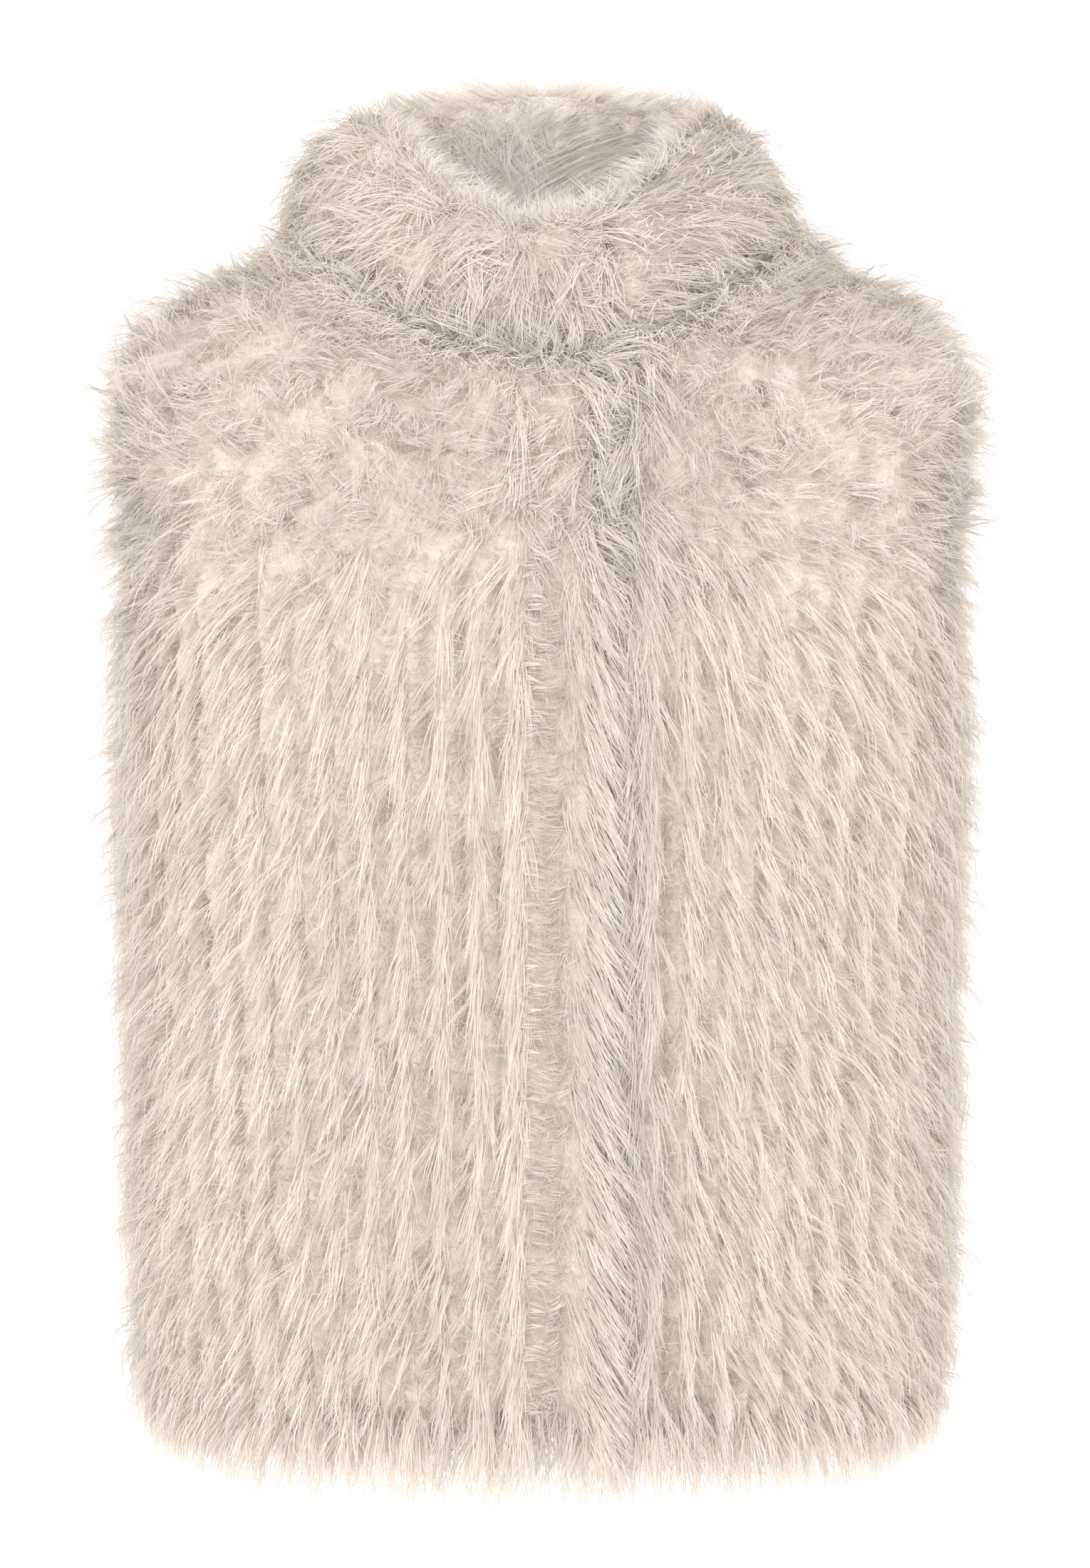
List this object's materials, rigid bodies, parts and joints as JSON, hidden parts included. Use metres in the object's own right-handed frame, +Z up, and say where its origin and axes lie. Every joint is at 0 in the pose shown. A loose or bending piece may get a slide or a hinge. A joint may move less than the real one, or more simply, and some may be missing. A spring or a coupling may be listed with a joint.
{
  "type": "faux fur vest",
  "caption": "Hollow vest of long-pile faux fur in its worn shape, with a stand collar, overlapping fronts, and open neck, hem and armholes.",
  "frame": {"origin": "midway between the inner ends of the two shoulder seams, at the neck, where the wearer's shoulders carry the vest", "axes": "+Z up, the front faces -Y, the wearer's left side is at +X"},
  "size_m": [0.4329, 0.3106, 0.7048],
  "materials": {
    "faux_fur": "long soft pile, matt with a slight sheen on the hair",
    "faux_fur_inside_collar": "shorter flattened pile, matt"
  },
  "bodies": {
    "root": {"front_right": "faux_fur", "front_left": "faux_fur", "back": "faux_fur", "collar_outer": "faux_fur", "collar_inner": "faux_fur_inside_collar"}
  },
  "joints": []
}
